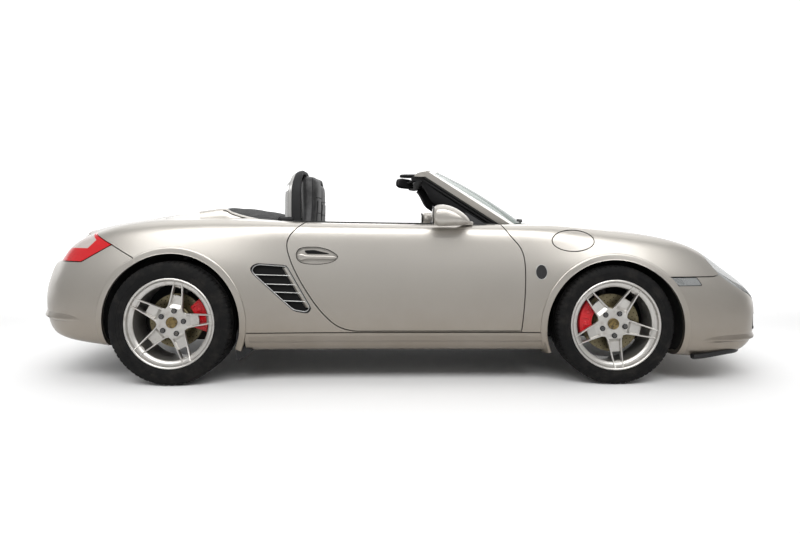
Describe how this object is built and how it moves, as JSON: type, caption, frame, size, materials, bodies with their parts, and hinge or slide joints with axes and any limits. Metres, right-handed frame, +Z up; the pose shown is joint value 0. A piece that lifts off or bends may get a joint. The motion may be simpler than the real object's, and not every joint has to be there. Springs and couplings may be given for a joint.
{
  "type": "open two-seat sports car",
  "caption": "Open two-seat sports car with the engine behind the seats, folded soft roof, opening doors and lids, and steered wheels that turn.",
  "frame": {"origin": "on the ground below the middle of the car's length and width", "axes": "+X towards the nose, +Y to the car's left, +Z up"},
  "size_m": [4.329, 1.98, 1.236],
  "materials": {
    "paint": "metallic, gloss",
    "shell": "satin",
    "trim": "grained",
    "clear": "clear",
    "red_lens": "red, gloss",
    "castings": "as cast",
    "caliper_red": "gloss",
    "alloy": "silver lacquer",
    "tyre": "matt",
    "leather": "fine grain",
    "hoop": "satin",
    "steel": "brushed",
    "cloth": "woven"
  },
  "bodies": {
    "chassis": {"front_bumper": "paint", "rear_bumper": "paint", "right_front_fender": "paint", "left_front_fender": "paint", "right_rear_quarter": "paint", "left_rear_quarter": "paint", "right_sill": "paint", "left_sill": "paint", "cowl": "trim", "headlamps": "clear", "tail_lamps": "red_lens", "body_tub": "shell", "windscreen_frame": "paint", "windscreen_glass": "clear", "rear_calipers": "caliper_red", "rear_axle": "castings", "front_axle": "castings", "right_seat": "leather", "left_seat": "leather", "dashboard": "trim", "steering_wheel": "leather", "roll_hoops": "hoop", "engine_block": "castings", "exhaust": "steel", "folded_roof": "cloth"},
    "right_door": {"right_door": "paint", "right_mirror": "paint"},
    "left_door": {"left_door": "paint", "left_mirror": "paint"},
    "front_lid": {"front_lid": "paint"},
    "rear_lid": {"rear_lid": "paint"},
    "roof_lid": {"roof_lid": "paint"},
    "filler_lid": {"filler_lid": "paint"},
    "right_upright": {"right_knuckle": "castings", "right_front_caliper": "caliper_red"},
    "left_upright": {"left_knuckle": "castings", "left_front_caliper": "caliper_red"},
    "right_front_wheel": {"right_front_wheel": "alloy", "right_front_tyre": "tyre"},
    "left_front_wheel": {"left_front_wheel": "alloy", "left_front_tyre": "tyre"},
    "right_rear_wheel": {"right_rear_wheel": "alloy", "right_rear_tyre": "tyre"},
    "left_rear_wheel": {"left_rear_wheel": "alloy", "left_rear_tyre": "tyre"}
  },
  "joints": [
    {"name": "right_door_hinge", "type": "hinge", "parent": "chassis", "child": "right_door", "pos_m": [0.678, -0.856, 0.5], "axis": [0, 0, 1], "range_deg": [0, 60]},
    {"name": "left_door_hinge", "type": "hinge", "parent": "chassis", "child": "left_door", "pos_m": [0.678, 0.856, 0.5], "axis": [0, 0, -1], "range_deg": [0, 60]},
    {"name": "front_lid_hinge", "type": "hinge", "parent": "chassis", "child": "front_lid", "pos_m": [0.822, 0, 0.882], "axis": [0, -1, 0], "range_deg": [0, 55]},
    {"name": "rear_lid_hinge", "type": "hinge", "parent": "chassis", "child": "rear_lid", "pos_m": [-1.399, 0, 0.962], "axis": [0, 1, 0], "range_deg": [0, 55]},
    {"name": "roof_lid_hinge", "type": "hinge", "parent": "chassis", "child": "roof_lid", "pos_m": [-1.376, 0, 0.966], "axis": [0, -1, 0], "range_deg": [0, 50]},
    {"name": "filler_hinge", "type": "hinge", "parent": "chassis", "child": "filler_lid", "pos_m": [1.067, -0.83, 0.779], "axis": [0, 0, 1], "range_deg": [0, 80]},
    {"name": "left_steering", "type": "hinge", "parent": "chassis", "child": "left_upright", "pos_m": [1.1725, 0.668, 0.3225], "axis": [0, -0.2706, 0.9627], "range_deg": [-32, 32]},
    {"name": "right_steering", "type": "hinge", "parent": "chassis", "child": "right_upright", "pos_m": [1.1725, -0.668, 0.3225], "axis": [0, 0.2706, 0.9627], "range_deg": [-32, 32]},
    {"name": "left_front_spin", "type": "hinge", "parent": "left_upright", "child": "left_front_wheel", "pos_m": [1.1725, 0.743, 0.3225], "axis": [0, 1, 0], "continuous": true},
    {"name": "right_front_spin", "type": "hinge", "parent": "right_upright", "child": "right_front_wheel", "pos_m": [1.1725, -0.743, 0.3225], "axis": [0, 1, 0], "continuous": true},
    {"name": "left_rear_spin", "type": "hinge", "parent": "chassis", "child": "left_rear_wheel", "pos_m": [-1.2425, 0.764, 0.3345], "axis": [0, 1, 0], "continuous": true},
    {"name": "right_rear_spin", "type": "hinge", "parent": "chassis", "child": "right_rear_wheel", "pos_m": [-1.2425, -0.764, 0.3345], "axis": [0, 1, 0], "continuous": true}
  ],
  "couplings": [
    {"joint": "right_steering", "follows": "left_steering", "ratio": 1}
  ]
}
